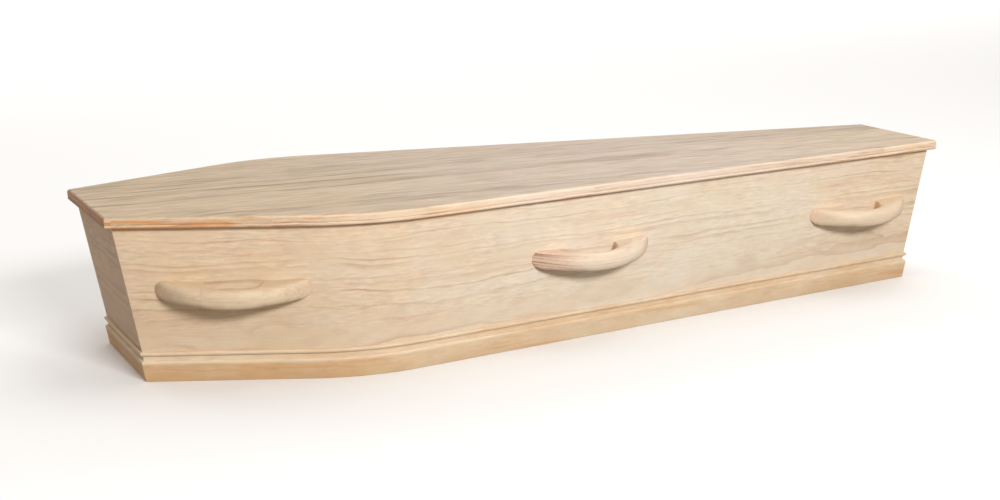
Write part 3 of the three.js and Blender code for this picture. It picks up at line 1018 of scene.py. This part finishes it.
def carving_tree():
    """The tree that carves one handle, with its chord along X, its back on the board and its bow in +Y."""
    tree = bpy.data.node_groups.new("carve_handle", "GeometryNodeTree")
    given = add_inputs(tree, HANDLE_INPUTS)

    def step(operation, *values):
        return calc(tree, operation, *values)

    grid = put(tree, "GeometryNodeMeshGrid",
               {"Size X": 2.0, "Size Y": 1.0, "Vertices X": STATIONS, "Vertices Y": SIDES + 1})
    at = put(tree, "ShaderNodeSeparateXYZ", {0: put(tree, "GeometryNodeInputPosition").outputs[0]}).outputs
    from_middle = step("ABSOLUTE", at[0])
    half_chord, half_gap = step("MULTIPLY", given["Chord"], 0.5), step("MULTIPLY", given["Gap width"], 0.5)
    in_gap = step("MULTIPLY", step("MINIMUM", step("DIVIDE", from_middle, GAP_STATIONS), 1.0), math.pi / 2)
    in_foot = step("DIVIDE", step("SUBTRACT", from_middle, GAP_STATIONS), 1 - GAP_STATIONS)
    in_foot = step("MULTIPLY", step("MAXIMUM", in_foot, 0.0), math.pi / 2)
    gap_share = step("SINE", in_gap)
    u = step("ADD", step("MULTIPLY", half_gap, gap_share),
             step("MULTIPLY", step("SUBTRACT", half_chord, half_gap), step("SINE", in_foot)))
    along = step("MINIMUM", step("DIVIDE", u, half_chord), 1.0)
    bow = step("SUBTRACT", 1.0, step("POWER", along, given["Plan power"]))
    out = step("MULTIPLY", given["Stand out"], bow)
    hollow = step("MULTIPLY", given["Gap depth"], step("MAXIMUM", step("COSINE", in_gap), 0.0))
    from_tip = step("DIVIDE", step("SUBTRACT", half_chord, u), given["End round"])
    to_round = step("SUBTRACT", 1.0, step("MINIMUM", from_tip, 1.0))
    rounding = step("SQRT", step("MAXIMUM", step("SUBTRACT", 1.0, step("MULTIPLY", to_round, to_round)), 0.0))
    half_tall = step("MULTIPLY", step("MULTIPLY", given["Bar height"], 0.5), rounding)
    half_deep = step("MULTIPLY", step("SUBTRACT", out, hollow), 0.5)

    turn = step("MULTIPLY", at[1], 2 * math.pi)
    cosine, sine = step("COSINE", turn), step("SINE", turn)
    squaring = blend_range(tree, gap_share, BACK_TURNS_FROM, 1.0)
    sharper = step("SUBTRACT", given["Back square"], given["Hand round"])
    back_power = step("MULTIPLY_ADD", squaring, sharper, given["Hand round"])
    behind = step("LESS_THAN", cosine, 0.0)
    change = step("SUBTRACT", back_power, given["Hand round"])
    power = step("MULTIPLY_ADD", behind, change, given["Hand round"])
    y_share = step("MULTIPLY", step("SIGN", cosine), step("POWER", step("ABSOLUTE", cosine), power))
    z_share = step("MULTIPLY", step("SIGN", sine), step("POWER", step("ABSOLUTE", sine), power))
    y = step("ADD", step("ADD", hollow, SEAT), step("MULTIPLY", half_deep, step("ADD", 1.0, y_share)))
    rise = step("MULTIPLY", given["Rise"], step("MULTIPLY", along, along))
    z = step("MULTIPLY_ADD", half_tall, z_share, rise)
    x = step("MULTIPLY", step("SIGN", at[0]), u)
    carved = put(tree, "ShaderNodeCombineXYZ", {0: x, 1: y, 2: z}).outputs[0]
    moved = put(tree, "GeometryNodeSetPosition", {"Geometry": grid.outputs[0], "Position": carved}).outputs[0]
    closed = put(tree, "GeometryNodeMergeByDistance", {"Geometry": moved, "Distance": SEAM_GAP}).outputs[0]
    sawn = store_log(tree, closed, given["Place in the log"])
    close_tree(tree, sawn, given["Wood"])
    return tree


carve = carving_tree()
print("the carving tree has", len(carve.nodes), "nodes")

# %% [markdown]
# Six handles, three on each side, come from the same tree. Each is sawn from its own place in a log, so no
# two have the same grain, then turned to the line of its board, leaned with it and set on it.

# %% Handles
HANDLE_FROM_END = 230 * MM
HANDLE_HEIGHT = 182 * MM
HANDLE_PLACES = {"head": HEAD_X + HANDLE_FROM_END, "middle": 0.0, "foot": FOOT_X - HANDLE_FROM_END}
LOG_OF_HANDLE = {
    ("near", "head"): (0.5, 0.0, 0.30),
    ("near", "middle"): (2.1, 0.0, 0.33),
    ("near", "foot"): (3.9, 0.0, -0.28),
    ("far", "head"): (5.5, 0.0, 0.31),
    ("far", "middle"): (7.1, 0.0, -0.27),
    ("far", "foot"): (8.7, 0.0, -0.34),
}

for (side_name, place), sawn in LOG_OF_HANDLE.items():
    side = SIDES_OF_COFFIN[side_name]
    x = HANDLE_PLACES[place]
    angle = HEAD_ANGLE if x < shoulder.x else FOOT_ANGLE
    wood = heart_pine if (side_name, place) == ("near", "middle") else handle_pine
    handle = run_tree(bpy.data.meshes.new("block"), carve, {"Place in the log": sawn, "Wood": wood})
    facing = Matrix.Rotation(angle if side > 0 else math.pi - angle, 4, "Z")
    leaning = Matrix.Rotation(-SIDE_LEAN, 4, "X")
    on_board = Vector((x, side * half_width(angle, x, side_inset(HANDLE_HEIGHT)), HANDLE_HEIGHT))
    handle.transform(Matrix.Translation(on_board) @ (facing @ leaning))
    finish_piece(f"carved_handle_{side_name}_{place}", handle, wood, f"handle_{side_name}_{place}")
